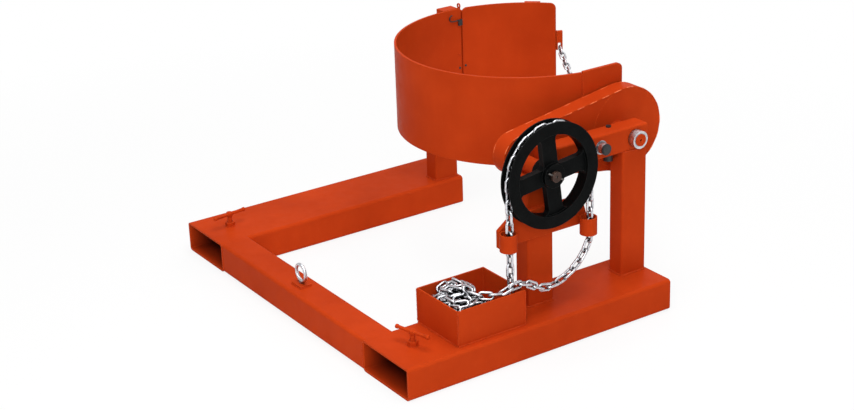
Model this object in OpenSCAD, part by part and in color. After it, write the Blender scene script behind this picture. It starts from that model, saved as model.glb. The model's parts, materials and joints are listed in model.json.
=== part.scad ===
// Drum tipper for a fork truck: a U-shaped base with two fork pockets carries a tilting drum collar.
// A hand chain turns a chain wheel, and a roller chain inside the side case turns the collar.
// X runs across the base with the drive side at +X, Y runs forward, Z is up.
// The origin is on the floor, under the middle of the rear crossbar.

/* [Base] */
// Width over both legs
base_w = 1000; // [900:10:1100]
// Length of each leg
base_l = 718; // [690:1:800]
// Width of a leg, which is also the fork pocket
leg_w = 178; // [160:1:190]
// Height of the legs and the crossbar
leg_h = 75; // [65:1:90]
// Wall of the legs and the crossbar
leg_wall = 5; // [3:0.5:8]
// Outer corner radius of the legs and the crossbar
leg_corner = 8; // [6:0.5:12]
// Width of the rear crossbar
crossbar_w = 77; // [60:1:100]

/* [Posts and beam] */
// Thickness of the posts and the beam across the base
post_x = 46; // [40:1:50]
// Width of the posts along the base
post_y = 70; // [60:1:76]
// Wall of the posts and the beam
post_wall = 4; // [3:0.5:6]
// Outer corner radius of the posts and the beam
post_corner = 5; // [4:0.5:8]
// Top of the two drive posts above the floor
post_top = 377; // [360:1:400]
// Height of the bearing beam
beam_h = 56; // [50:1:60]
// Middle of the drive posts, from the centre plane
drive_post_x = 394; // [390:1:400]
// Middle of the idler post, from the centre plane
idler_post_x = 358.5; // [358:0.5:370]

/* [Collar] */
// Outer radius of the drum collar
collar_r = 305; // [300:1:306]
// Thickness of the collar band
collar_t = 5; // [3:0.5:6]
// Height of the collar band
collar_h = 210; // [180:1:230]
// Lower edge of the collar above the floor
collar_z = 330; // [320:1:345]
// Tilt axis, from the rear face of the crossbar
tilt_from_rear = 678; // [670:1:690]
// Angle of the slit where the wing is hinged
slit_angle = 173.6; // [172:0.1:175]
// Angle of the free end of the wing
wing_angle = 126.5; // [120:0.5:140]
// Width of the slit between band and wing
slit_w = 5; // [3:0.5:6]
// Corner radius of the plates of the collar
plate_corner = 14; // [6:1:20]

/* [Drive plate and trunnions] */
// Thickness of the flat plate on the drive side
drive_plate_t = 8; // [6:0.5:8]
// Length of the drive plate in front of the tilt axis
drive_plate_front = 55; // [45:1:60]
// Length of the drive plate behind the tilt axis
drive_plate_rear = 57.5; // [52:0.5:60]
// Height of the drive plate above the collar's upper edge
drive_plate_rise = 3; // [0:0.5:6]
// Radius of both tilt shafts
tilt_shaft_r = 14; // [12:0.5:15]
// Outer radius of the tilt bearing tubes
tilt_tube_r = 20.5; // [19.5:0.5:22]
// Width of the trunnion bar on the idler side
trunnion_bar_y = 44; // [38:1:48]
// Depth of the trunnion bar on the idler side
trunnion_bar_x = 28.5; // [24:0.5:28.5]

/* [Hand wheel] */
// Outer radius of the chain wheel
wheel_r = 120; // [118:1:124]
// Width of the wheel's rim
wheel_w = 30; // [29:1:32]
// Width of a spoke
spoke_w = 37; // [34:1:44]
// Thickness of a spoke
spoke_t = 16; // [12:1:20]
// Angle of the first spoke
spoke_angle = 7; // [0:1:45]
// Corner radius of the openings between the spokes
spoke_fillet = 10; // [4:1:12]
// Radius of the hub
hub_r = 27; // [24:1:30]
// Distance from the centre plane to the middle of the rim
wheel_x = 452; // [451:1:454]
// Distance from the centre plane to the front of the hub
hub_face_x = 470; // [469:1:480]
// Wheel shaft, from the rear face of the crossbar
wheel_from_rear = 411; // [405:1:415]
// Radius of the wheel shaft
wheel_shaft_r = 12; // [10:0.5:13]
// Outer radius of the wheel's bearing tube
wheel_tube_r = 18; // [17:0.5:19]

/* [Hand chain] */
// Wire diameter of a hand chain link
link_wire = 6; // [5:0.5:6]
// Outer width of a hand chain link
link_w = 20.5; // [19:0.5:20.5]
// Number of links that a full turn of the wheel takes
wheel_links = 28; // [28:2:28]
// Height of the two guide tubes
guide_h = 40; // [36:1:44]
// Outer radius of the guide tubes
guide_r = 19.5; // [19:0.5:20]
// Middle height of the rear guide tube
rear_guide_z = 264; // [255:1:268]
// Middle height of the front guide tube
front_guide_z = 246; // [240:1:250]

/* [Drive chain and case] */
// Pitch of the roller chain
roller_pitch = 15.875; // [15.875]
// Teeth of the small sprocket
small_teeth = 10; // [9:1:10]
// Teeth of the large sprocket
large_teeth = 30; // [28:1:31]
// Number of links in the roller chain
roller_links = 54; // [54]
// Radius of the case's large end
case_r = 98; // [96:1:100]
// Distance from the tilt axis forward to the middle of the large end
case_shift = 31; // [28:1:31]
// Radius of the case's small end
case_small_r = 48; // [46:1:50]
// Sheet thickness of the case
case_wall = 3; // [2:0.5:3]
// Depth of the whole case
case_depth = 42.5; // [42.5:0.5:46]

/* [Chain box] */
// Size of the chain box across the leg
box_x = 154; // [140:1:158]
// Size of the chain box along the leg
box_y = 178; // [160:1:190]
// Height of the chain box
box_h = 83; // [75:1:84]
// Sheet thickness of the chain box
box_wall = 3; // [2:0.5:4]
// Rear wall of the chain box, from the rear face of the crossbar
box_from_rear = 142; // [130:1:150]
// Distance from the leg's outer face to the chain box
box_inset = 20; // [14:1:22]

/* [Fork clamps and eye bolt] */
// Radius of the clamp screws
clamp_r = 6; // [5.5:0.5:8]
// Length of the clamp bars
clamp_bar_l = 93; // [86:1:110]
// Height of the clamp bars above the legs
clamp_bar_z = 32; // [32:1:40]
// Clamp screws, from the rear face of the crossbar
clamp_from_rear = 72; // [66:1:80]
// Outer radius of the eye bolt's ring
eye_r = 24; // [20:1:28]
// Wire radius of the eye bolt's ring
eye_wire_r = 4; // [3:0.5:5]

/* [Lock bolt] */
// Distance of the lock bolt behind the tilt axis
lock_behind = 97; // [96:0.5:98]
// Radius of the lock bolt's stem
lock_r = 8; // [6:0.5:8]
// Radius of the lock bolt's head
lock_head_r = 13; // [11:0.5:13]
// Travel of the lock bolt
lock_travel = 14; // [12:0.5:14]

/* [Binding chain] */
// Wire diameter of the binding chain
bind_wire = 5; // [4:0.5:5]
// Outer width of a binding chain link
bind_w = 18; // [16:0.5:18]
// Number of links in the binding chain
bind_links = 27; // [25:2:29]
// Sag of the binding chain
bind_sag = 80; // [60:5:100]
// How far below the lug the chain meets the catch
bind_drop = 16; // [8:1:18]

/* [Hidden] */
$fn = 64;

// Clearances
seat = 0.3;
run = 0.05;
skin = 0.05;

// Colours
orange = [0.70, 0.16, 0.06];
black = [0.06, 0.06, 0.06];
steel = [0.72, 0.72, 0.74];
bronze = [0.70, 0.52, 0.25];

// Places along the base
rear_y = -crossbar_w / 2;
tilt_y = rear_y + tilt_from_rear;
wheel_y = rear_y + wheel_from_rear;
clamp_y = rear_y + clamp_from_rear;
lock_y = tilt_y - lock_behind;
knob_y = tilt_y - 50;

// Places across the base
inner_x = base_w / 2 - leg_w;
leg_mid_x = base_w / 2 - leg_w / 2;
beam_in = drive_post_x - post_x / 2;
beam_out = drive_post_x + post_x / 2;
idler_in = idler_post_x - post_x / 2;
idler_out = idler_post_x + post_x / 2;
plate_in = collar_r - collar_t - 3;
plate_out = plate_in + drive_plate_t;
case_in = plate_out + 4.5;
case_out = case_in + case_depth;
sprocket_x = (case_in + case_out) / 2;
tube_in = case_out - case_wall - 4;
trunnion_x = collar_r + seat;
trunnion_out = trunnion_x + trunnion_bar_x;

// Heights
beam_top = post_top + beam_h;
tilt_z = post_top + beam_h / 2;
wheel_z = post_top + wheel_tube_r + seat;
collar_top = collar_z + collar_h;
catch_z = collar_z + 111;

// Chain wheel and hand chain
link_step_angle = 360 / wheel_links;
link_c = 2 * 109.5 * sin(link_step_angle / 2);
chain_r = link_c / 2 / sin(link_step_angle / 2);
link_slack = 0.9;
wheel_hub_in = beam_out + 6.2;
rear_fall_y = wheel_y - chain_r;
front_fall_y = wheel_y + chain_r;
arm_t = 10.5;
guide_x = beam_out + arm_t + guide_r + seat;

// Roller chain
roller_r = 5.08;
link_plate_r = 7.2;
tooth_h = 4;
small_r = roller_pitch / 2 / sin(180 / small_teeth);
large_r = roller_pitch / 2 / sin(180 / large_teeth);

// Two circles and their outer tangents, as the case and the roller chain need them
function span(a, b) = norm(b - a);
function lean(a, b) = atan2(b[1] - a[1], b[0] - a[0]);
function open_angle(a, ra, b, rb) = acos((ra - rb) / span(a, b));
function polar(r, a) = [r * cos(a), r * sin(a)];

case_big = [tilt_y + case_shift, tilt_z - 3];
case_small = [wheel_y, wheel_z + 10];
large_axis = [tilt_y, tilt_z];
small_axis = [wheel_y, wheel_z];

// A rectangle with true arcs at its corners
module rounded_rect(w, h, r) {
  square([w - 2 * r, h], center = true);
  square([w, h - 2 * r], center = true);
  for (sx = [-1, 1], sy = [-1, 1]) {
    translate([sx * (w / 2 - r), sy * (h / 2 - r)]) circle(r);
  }
}

// The wall of a rectangular hollow section
module hollow_section(w, h, wall, r) {
  difference() {
    rounded_rect(w, h, r);
    rounded_rect(w - 2 * wall, h - 2 * wall, max(r - wall, 1));
  }
}

// Sweeps a flat shape along X, with its x along Y and its y along Z
module along_x(x0, x1) {
  translate([x0, 0, 0]) rotate([90, 0, 90]) linear_extrude(x1 - x0) children();
}

// Sweeps a flat shape along Y, with its x along X and its y along Z
module along_y(y0, y1) {
  translate([0, y1, 0]) rotate([90, 0, 0]) linear_extrude(y1 - y0) children();
}

// A rod along X
module rod_x(x0, x1, y, z, r) {
  translate([x0, y, z]) rotate([0, 90, 0]) cylinder(h = x1 - x0, r = r);
}

// A rod along Z
module rod_z(x, y, z0, z1, r) {
  translate([x, y, z0]) cylinder(h = z1 - z0, r = r);
}

// A pipe along X
module pipe_x(x0, x1, y, z, r_in, r_out) {
  difference() {
    rod_x(x0, x1, y, z, r_out);
    rod_x(x0 - 1, x1 + 1, y, z, r_in);
  }
}

// Two circles joined by their outer tangents, each circle smaller by inset
module belt_shape(a, ra, b, rb, inset) {
  dir = lean(a, b);
  gap = open_angle(a, ra, b, rb);
  translate(a) circle(ra - inset, $fn = 128);
  translate(b) circle(rb - inset, $fn = 96);
  polygon([
    a + polar(ra - inset, dir + gap),
    b + polar(rb - inset, dir + gap),
    b + polar(rb - inset, dir - gap),
    a + polar(ra - inset, dir - gap),
  ]);
}

// Base

module leg(side) {
  color(orange) difference() {
    along_y(rear_y, rear_y + base_l) {
      translate([side * leg_mid_x, leg_h / 2]) hollow_section(leg_w, leg_h, leg_wall, leg_corner);
    }
    rod_z(side * leg_mid_x, clamp_y, leg_h - leg_wall - 1, leg_h + 1, clamp_r + 0.5);
  }
}

module left_leg() {
  leg(-1);
}

module right_leg() {
  leg(1);
}

module rear_crossbar() {
  color(orange) difference() {
    along_x(-inner_x, inner_x) {
      translate([0, leg_h / 2]) hollow_section(crossbar_w, leg_h, leg_wall, leg_corner);
    }
    rod_z(0, 0, leg_h - leg_wall - 1, leg_h + 1, 6 + skin);
  }
}

// Posts and beam

module post(x, y, top) {
  translate([x, y, leg_h]) difference() {
    linear_extrude(top - leg_h) rounded_rect(post_x, post_y, post_corner);
    translate([0, 0, -1]) linear_extrude(top - leg_h - post_wall + 1) {
      rounded_rect(post_x - 2 * post_wall, post_y - 2 * post_wall, 1);
    }
  }
}

module drive_post_front() {
  color(orange) post(drive_post_x, tilt_y, post_top);
}

module drive_post_rear() {
  color(orange) post(drive_post_x, wheel_y, post_top);
}

module idler_post() {
  color(orange) difference() {
    post(-idler_post_x, tilt_y, beam_top);
    rod_x(-idler_out - 1, -idler_in + 1, tilt_y, tilt_z, tilt_tube_r + skin);
  }
}

module bearing_beam() {
  beam_rear = wheel_y + wheel_tube_r + seat;
  beam_front = tilt_y + post_y / 2;
  color(orange) difference() {
    along_y(beam_rear, beam_front) {
      translate([drive_post_x, tilt_z]) rounded_rect(post_x, beam_h, post_corner);
    }
    along_y(beam_rear + post_wall, beam_front - post_wall) translate([drive_post_x, tilt_z]) {
      rounded_rect(post_x - 2 * post_wall, beam_h - 2 * post_wall, 1);
    }
    rod_x(beam_in - 1, beam_out + 1, tilt_y, tilt_z, tilt_tube_r + skin);
    rod_x(beam_in - 1, beam_out + 1, lock_y, tilt_z, lock_head_r + 3 + skin);
    rod_z(drive_post_x - 10, knob_y, post_top - 1, beam_top + 1, 6 + skin);
  }
}

// Chain box and chain guides

module chain_box() {
  x1 = base_w / 2 - box_inset;
  color(orange) translate([x1 - box_x, rear_y + box_from_rear, leg_h]) difference() {
    cube([box_x, box_y, box_h]);
    translate([box_wall, box_wall, box_wall]) {
      cube([box_x - 2 * box_wall, box_y - 2 * box_wall, box_h]);
    }
  }
}

module guide_arm() {
  low = front_guide_z - guide_h / 2 + 18;
  arm_top = rear_guide_z + guide_h / 2 + 26;
  color(orange) along_x(beam_out, beam_out + arm_t) {
    polygon([
      [rear_fall_y - 10, low],
      [front_fall_y + 10, low],
      [front_fall_y + 10, front_guide_z + guide_h / 2],
      [front_fall_y - 4, arm_top],
      [rear_fall_y + 26, arm_top],
      [rear_fall_y - 10, rear_guide_z + guide_h / 2],
    ]);
  }
}

module chain_guide(y, z) {
  translate([guide_x, y, z - guide_h / 2]) difference() {
    cylinder(h = guide_h, r = guide_r);
    translate([0, 0, -1]) cylinder(h = guide_h + 2, r = guide_r - 3);
  }
}

module rear_chain_guide() {
  color(orange) chain_guide(rear_fall_y, rear_guide_z);
}

module front_chain_guide() {
  color(orange) chain_guide(front_fall_y, front_guide_z);
}

// Chain case and bearings

module chain_case_back() {
  color(orange) difference() {
    along_x(case_in, case_in + case_wall) belt_shape(case_big, case_r, case_small, case_small_r, 0);
    rod_x(case_in - 1, case_in + case_wall + 1, tilt_y, tilt_z, tilt_shaft_r + 1);
    rod_x(case_in - 1, case_in + case_wall + 1, lock_y, tilt_z, lock_r + 0.5);
  }
}

module chain_case_cover() {
  color(orange) difference() {
    along_x(case_in + case_wall, case_out) {
      belt_shape(case_big, case_r, case_small, case_small_r, 0);
    }
    along_x(case_in + case_wall - 1, case_out - case_wall) {
      belt_shape(case_big, case_r, case_small, case_small_r, case_wall);
    }
    rod_x(case_out - case_wall - 1, case_out + 1, tilt_y, tilt_z, tilt_tube_r + skin);
    rod_x(case_out - case_wall - 1, case_out + 1, wheel_y, wheel_z, wheel_tube_r + skin);
    rod_x(case_out - case_wall - 1, case_out + 1, lock_y, tilt_z, lock_r + 0.5);
  }
}

module wheel_bearing_tube() {
  bore = wheel_shaft_r + run + 3 + skin;
  color(orange) pipe_x(tube_in, beam_out + 4, wheel_y, wheel_z, bore, wheel_tube_r);
}

module wheel_bushes() {
  r_in = wheel_shaft_r + run;
  color(bronze) {
    pipe_x(tube_in, tube_in + 24, wheel_y, wheel_z, r_in, r_in + 3);
    pipe_x(beam_out + 4 - 24, beam_out + 4, wheel_y, wheel_z, r_in, r_in + 3);
  }
}

module tilt_bearing_tube() {
  bore = tilt_shaft_r + run + 3 + skin;
  color(orange) pipe_x(tube_in, beam_out, tilt_y, tilt_z, bore, tilt_tube_r);
}

module tilt_bushes() {
  r_in = tilt_shaft_r + run;
  color(bronze) {
    pipe_x(tube_in, tube_in + 24, tilt_y, tilt_z, r_in, r_in + 3);
    pipe_x(beam_out - 24, beam_out, tilt_y, tilt_z, r_in, r_in + 3);
  }
}

module lock_bush() {
  color(bronze) pipe_x(beam_in, beam_out, lock_y, tilt_z, lock_head_r + run, lock_head_r + 3);
}

module idler_bearing_tube() {
  bore = tilt_shaft_r + run + 3 + skin;
  color(orange) pipe_x(-idler_out, -idler_in, tilt_y, tilt_z, bore, tilt_tube_r);
}

module idler_bush() {
  r_in = tilt_shaft_r + run;
  color(bronze) pipe_x(-idler_out, -idler_in, tilt_y, tilt_z, r_in, r_in + 3);
}

// Eye bolt and fork clamps

module eye_bolt() {
  foot = leg_h + 6;
  color(steel) {
    translate([0, 0, foot + eye_r]) rotate([90, 0, 0]) {
      rotate_extrude() translate([eye_r - eye_wire_r, 0]) circle(eye_wire_r, $fn = 32);
    }
    rod_z(0, 0, leg_h - leg_wall - 12, foot + 3, 6);
  }
}

module eye_bolt_plate() {
  color(orange) difference() {
    translate([-20, -15, leg_h]) cube([40, 30, 5]);
    rod_z(0, 0, leg_h - 1, leg_h + 6, 6 + skin);
  }
}

module clamp_nut(side) {
  color(orange) difference() {
    translate([side * leg_mid_x, clamp_y, leg_h]) cylinder(h = 11, r = 12, $fn = 6);
    rod_z(side * leg_mid_x, clamp_y, leg_h - 1, leg_h + 12, clamp_r + run);
  }
}

module left_clamp_nut() {
  clamp_nut(-1);
}

module right_clamp_nut() {
  clamp_nut(1);
}

module clamp_screw(side, bar_angle) {
  tip_z = leg_h - leg_wall - 3;
  bar_z = leg_h + clamp_bar_z;
  color(orange) {
    rod_z(side * leg_mid_x, clamp_y, tip_z, bar_z, clamp_r);
    rod_z(side * leg_mid_x, clamp_y, bar_z - 5, bar_z + 5.5, clamp_r + 1.5);
    rod_z(side * leg_mid_x, clamp_y, tip_z - 5, tip_z + 1, 5);
    translate([side * leg_mid_x, clamp_y, bar_z]) rotate([0, 90, bar_angle]) {
      cylinder(h = clamp_bar_l - 2, r = 4, center = true);
      for (end = [-1, 1]) translate([0, 0, end * (clamp_bar_l / 2 - 3)]) {
        cylinder(h = 6, r = 5, center = true);
      }
    }
  }
}

module left_clamp_screw() {
  clamp_screw(-1, 99);
}

module right_clamp_screw() {
  clamp_screw(1, 14.5);
}

module clamp_pad(side) {
  top = leg_h - leg_wall - 3.4;
  color(steel) difference() {
    rod_z(side * leg_mid_x, clamp_y, top - 7, top, 15);
    rod_z(side * leg_mid_x, clamp_y, top - 5, top + 1, 5 + run);
  }
}

module left_clamp_pad() {
  clamp_pad(-1);
}

module right_clamp_pad() {
  clamp_pad(1);
}

// Chain links

// One link along X, lying in the XY plane; inner is its inside length
module link(wire, width, inner) {
  arc_r = (width - wire) / 2;
  straight = round(100 * (inner - 2 * arc_r + wire)) / 100;
  for (side = [-1, 1]) {
    translate([side * straight / 2, 0, 0]) rotate([0, 0, side > 0 ? -90 : 90]) {
      rotate_extrude(angle = 180, $fn = 32) translate([arc_r, 0]) circle(wire / 2, $fn = 20);
    }
    translate([-straight / 2, side * arc_r, 0]) rotate([0, 90, 0]) {
      cylinder(h = straight, r = wire / 2, $fn = 20);
    }
  }
}

// Turns children's X axis along t in the plane of the wheel, their Y axis across it, rolled by roll
module aim(p, t, roll) {
  translate(p) rotate([atan2(t[2], t[1]), 0, 0]) rotate([0, 0, 90]) rotate([roll, 0, 0]) children();
}

// Links at points, each turned a quarter against the one before it
module link_row(points, wire, width, inner, first_roll) {
  last = len(points) - 1;
  for (i = [0:last]) {
    t = points[min(i + 1, last)] - points[max(i - 1, 0)];
    aim(points[i], t, first_roll + (i % 2) * 90) link(wire, width, inner);
  }
}

// Points along a hand-made route, a fixed step apart, on a smooth curve through its points
function smooth(a, b, c, d, t) =
  0.5 * (2 * b + (c - a) * t + (2 * a - 5 * b + 4 * c - d) * t * t
  + (3 * b - a - 3 * c + d) * t * t * t);
function dense(route) = [
  for (i = [1:len(route) - 3], k = [0:23])
    smooth(route[i - 1], route[i], route[i + 1], route[i + 2], k / 24),
  route[len(route) - 2],
];
function next_index(pts, from, i, step) =
  i >= len(pts) ? -1 : norm(pts[i] - from) >= step ? i : next_index(pts, from, i + 1, step);
function cut_at(pts, from, i, step) =
  let (
    a = pts[i - 1],
    d = pts[i] - a,
    f = a - from,
    qa = d * d,
    qb = 2 * (f * d),
    qc = f * f - step * step,
    t = (-qb + sqrt(max(qb * qb - 4 * qa * qc, 0))) / (2 * qa)
  )
  a + t * d;
function walk(pts, from, i, step, left) =
  left == 0 ? [] :
  let (j = next_index(pts, from, i, step))
  j < 0 ? [] :
  let (p = cut_at(pts, from, j, step))
  concat([p], walk(pts, p, j, step, left - 1));

rear_run = [for (i = [12:-1:1]) [wheel_x, rear_fall_y, wheel_z - i * link_c]];
over_run = [
  for (i = [0:wheel_links / 2])
    let (a = 180 - i * link_step_angle)
    [wheel_x, wheel_y + chain_r * cos(a), wheel_z + chain_r * sin(a)]
];
front_run = [for (i = [1:7]) [wheel_x, front_fall_y, wheel_z - i * link_c]];
hand_points = concat(rear_run, over_run, front_run);

// The loose part of the hand chain, from the front guide to the chain box
swag_end = [wheel_x, front_fall_y, wheel_z - 7 * link_c];
swag_rim_z = leg_h + box_h + link_w / 2 + 3;
swag_route = [
  swag_end + [0, 0, 30],
  swag_end,
  [wheel_x, rear_y + 508, 194],
  [wheel_x, rear_y + 484, 165],
  [wheel_x + 1, rear_y + 448, 143],
  [wheel_x + 4, rear_y + 404, 134],
  [wheel_x + 11, rear_y + 364, 146],
  [wheel_x + 17, rear_y + 336, swag_rim_z - 7],
  [wheel_x + 20, rear_y + 308, swag_rim_z],
  [wheel_x + 17, rear_y + 282, swag_rim_z - 6],
  [wheel_x + 11, rear_y + 260, swag_rim_z - 12],
  [wheel_x + 5, rear_y + 240, swag_rim_z - 14],
];
swag_points = walk(dense(swag_route), swag_end, 1, link_c, 13);

inner_l = link_c + link_slack;

module hand_chain() {
  color(steel) link_row(concat(hand_points, swag_points), link_wire, link_w, inner_l, 90);
}

// The loose end lies at the rear of the box as rows of links on a packed core
heap_x = base_w / 2 - box_inset - box_x / 2;
heap_y = rear_y + box_from_rear;
heap_z = leg_h + box_h - 2;
heap_rows = [5, 5, 5, 5, 4];
heap_row_gap = 18;
heap_core_top = heap_z - (link_w - link_wire) / 2 * sin(45) - link_wire / 2 - seat;

module hand_chain_heap() {
  color(steel) for (row = [0:len(heap_rows) - 1], i = [0:heap_rows[row] - 1]) {
    x = heap_x + (i - 2) * link_c + (row % 2) * 3 - 1.5;
    translate([x, heap_y + 15.5 + row * heap_row_gap, heap_z]) rotate([45 + (i % 2) * 90, 0, 0]) {
      link(link_wire, link_w, inner_l);
    }
  }
}

module hand_chain_core() {
  inside = box_wall + 1.5;
  deep = len(heap_rows) * heap_row_gap + 5;
  color(steel) translate([heap_x, heap_y + inside + deep / 2, leg_h + box_wall + seat]) {
    linear_extrude(heap_core_top - leg_h - box_wall - seat) {
      rounded_rect(box_x - 2 * inside, deep, 8);
    }
  }
}

// Roller chain and sprockets

roller_dir = lean(large_axis, small_axis);
roller_gap = open_angle(large_axis, large_r, small_axis, small_r);
upper_a = roller_dir - roller_gap;
lower_a = roller_dir + roller_gap;
small_arc = lower_a - upper_a;
large_arc = 360 - small_arc;
strand_l = norm(
  small_axis + polar(small_r, upper_a) - large_axis - polar(large_r, upper_a)
);
small_arc_l = small_r * small_arc * PI / 180;
large_arc_l = large_r * large_arc * PI / 180;
loop_l = small_arc_l + large_arc_l + 2 * strand_l;
roller_step = loop_l / roller_links;

// A point on the roller chain's loop, from the top of the small sprocket round its far side
function loop_point(s) =
  s < small_arc_l ? small_axis + polar(small_r, upper_a + s / small_r * 180 / PI) :
  s < small_arc_l + strand_l ?
    small_axis + polar(small_r, lower_a)
    + (large_axis + polar(large_r, lower_a) - small_axis - polar(small_r, lower_a))
    * (s - small_arc_l) / strand_l :
  s < small_arc_l + strand_l + large_arc_l ?
    large_axis + polar(large_r, lower_a + (s - small_arc_l - strand_l) / large_r * 180 / PI) :
  large_axis + polar(large_r, upper_a)
  + (small_axis + polar(small_r, upper_a) - large_axis - polar(large_r, upper_a))
  * (s - small_arc_l - strand_l - large_arc_l) / strand_l;

// Rollers are drawn where the chain is clear of the turning teeth
function clear_run(r) = sqrt(pow(r + tooth_h + roller_r + 0.5, 2) - r * r);
function on_strand(s) =
  (s > small_arc_l + clear_run(small_r) && s < small_arc_l + strand_l - clear_run(large_r))
  || (s > small_arc_l + strand_l + large_arc_l + clear_run(large_r)
    && s < loop_l - clear_run(small_r));

module link_plate(a, b, x0, x1) {
  side = 5 * [a[1] - b[1], b[0] - a[0]] / norm(b - a);
  along_x(x0, x1) {
    translate(a) circle(link_plate_r, $fn = 32);
    translate(b) circle(link_plate_r, $fn = 32);
    polygon([a + side, b + side, b - side, a - side]);
  }
}

module roller_chain() {
  color(steel) for (i = [0:roller_links - 1]) {
    s0 = i * roller_step;
    s1 = (i + 1) * roller_step;
    a = loop_point(s0);
    b = loop_point(s1 >= loop_l ? 0 : s1);
    low = i % 2 == 0 ? 5 : 7.1;
    for (side = [-1, 1]) {
      x0 = sprocket_x + (side > 0 ? low : -low - 1.8);
      link_plate(a, b, x0, x0 + 1.8);
    }
    if (i % 2 == 0 && on_strand(s0) && on_strand(s1)) {
      for (p = [a, b]) rod_x(sprocket_x - 5.1, sprocket_x + 5.1, p[0], p[1], roller_r);
    }
  }
}

module sprocket_disc(teeth, r) {
  root = r - roller_r;
  tip = r + tooth_h;
  half = 180 / teeth;
  along_x(sprocket_x - 4.3, sprocket_x + 4.3) polygon([
    for (i = [0:teeth - 1], k = [[-0.62, root], [-0.24, tip], [0.24, tip], [0.62, root]])
      polar(k[1], i * 2 * half + k[0] * half)
  ]);
}

module large_sprocket() {
  color(steel) difference() {
    union() {
      translate([0, tilt_y, tilt_z]) sprocket_disc(large_teeth, large_r);
      rod_x(sprocket_x - 12, sprocket_x + 12, tilt_y, tilt_z, 26);
    }
    rod_x(sprocket_x - 20, sprocket_x + 20, tilt_y, tilt_z, tilt_shaft_r + skin);
  }
}

module small_sprocket() {
  color(steel) difference() {
    union() {
      translate([0, wheel_y, wheel_z]) sprocket_disc(small_teeth, small_r);
      rod_x(sprocket_x - 12, sprocket_x + 12, wheel_y, wheel_z, 17);
    }
    rod_x(sprocket_x - 20, sprocket_x + 20, wheel_y, wheel_z, wheel_shaft_r + skin);
  }
}

// Collar

module arc_plate(from, to, r_in, r_out, z0, z1) {
  translate([0, tilt_y, 0]) rotate([0, 0, from]) {
    rotate_extrude(angle = to - from, $fn = 180) {
      translate([r_in, z0]) square([r_out - r_in, z1 - z0]);
    }
  }
}

// Cuts one corner of a curved plate round; along is +1 if the plate lies towards larger angles
module corner_cut(angle, z, r, along, up) {
  translate([0, tilt_y, 0]) rotate([0, 0, angle]) along_x(collar_r - 20, collar_r + 20) {
    translate([along * (r - 0.03), z + up * (r - 0.03)]) difference() {
      translate([along > 0 ? -r - 1 : 0, up > 0 ? -r - 1 : 0]) square(r + 1);
      circle(r);
    }
  }
}

band_end = 360 - asin(drive_plate_rear / collar_r);
slit_half = slit_w / 2 / collar_r * 180 / PI;

module collar_band() {
  from = slit_angle + slit_half;
  color(orange) difference() {
    arc_plate(from, band_end, collar_r - collar_t, collar_r, collar_z, collar_top);
    corner_cut(from, collar_top, 6, 1, -1);
    corner_cut(from, collar_z, 6, 1, 1);
  }
}

module wing() {
  to = slit_angle - slit_half;
  color(orange) difference() {
    arc_plate(wing_angle, to, collar_r - collar_t, collar_r, collar_z, collar_top);
    corner_cut(wing_angle, collar_top, plate_corner, 1, -1);
    corner_cut(wing_angle, collar_z, plate_corner, 1, 1);
    corner_cut(to, collar_top, plate_corner, -1, -1);
    corner_cut(to, collar_z, plate_corner, -1, 1);
  }
}

module drive_plate() {
  y0 = tilt_y - plate_in * tan(asin(drive_plate_rear / collar_r)) + seat;
  y1 = tilt_y + drive_plate_front;
  z1 = collar_top + drive_plate_rise;
  r = plate_corner;
  color(orange) difference() {
    along_x(plate_in, plate_out) {
      translate([y0, collar_z]) square([y1 - y0 - r, z1 - collar_z]);
      translate([y0, collar_z + r]) square([y1 - y0, z1 - collar_z - 2 * r]);
      for (z = [collar_z + r, z1 - r]) translate([y1 - r, z]) circle(r);
    }
    rod_x(plate_in - 1, plate_out + 1, tilt_y, tilt_z, tilt_shaft_r + skin);
    rivet_row(plate_in - 1, plate_out + 1, 4 + skin);
  }
}

module rivet_row(x0, x1, r) {
  for (a = [45:90:315]) rod_x(x0, x1, tilt_y + 30 * cos(a), tilt_z + 30 * sin(a), r);
}

module tilt_shaft() {
  end_x = beam_out + 21;
  color(orange) difference() {
    union() {
      rod_x(plate_in, end_x, tilt_y, tilt_z, tilt_shaft_r);
      rod_x(plate_out, plate_out + 3, tilt_y, tilt_z, 40);
    }
    rod_x(end_x - 5, end_x + 1, tilt_y, tilt_z, 3);
    rivet_row(plate_out - 1, plate_out + 4, 4 + skin);
  }
}

module tilt_shaft_rivets() {
  color(steel) rivet_row(plate_in, plate_out + 3.3, 4);
}

module tilt_shaft_collar() {
  color(steel) {
    pipe_x(beam_out + seat, beam_out + 19, tilt_y, tilt_z, tilt_shaft_r + skin, tilt_tube_r);
  }
}

module trunnion_bar() {
  y0 = tilt_y + 26 - trunnion_bar_y;
  color(orange) difference() {
    translate([-trunnion_out, y0, collar_z]) cube([trunnion_bar_x, trunnion_bar_y, collar_h + 1]);
    rod_x(-trunnion_out - 1, -trunnion_out + 22, tilt_y, tilt_z, tilt_shaft_r + skin);
  }
}

module idler_shaft() {
  color(steel) difference() {
    rod_x(-idler_out - 12, -trunnion_out + 21.7, tilt_y, tilt_z, tilt_shaft_r);
    rod_z(-idler_out - 7, tilt_y, tilt_z - 30, tilt_z + 30, 2.5 + skin);
  }
}

module idler_washer() {
  color(steel) {
    pipe_x(-idler_out - 3.3, -idler_out - seat, tilt_y, tilt_z, tilt_shaft_r + skin, 24);
  }
}

module idler_split_pin() {
  color(steel) {
    rod_z(-idler_out - 7, tilt_y, tilt_z - 22, tilt_z + 18, 2.5);
    translate([-idler_out - 7, tilt_y, tilt_z + 21]) rotate([0, 90, 0]) {
      rotate_extrude($fn = 32) translate([4, 0]) circle(1.6, $fn = 20);
    }
  }
}

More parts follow.
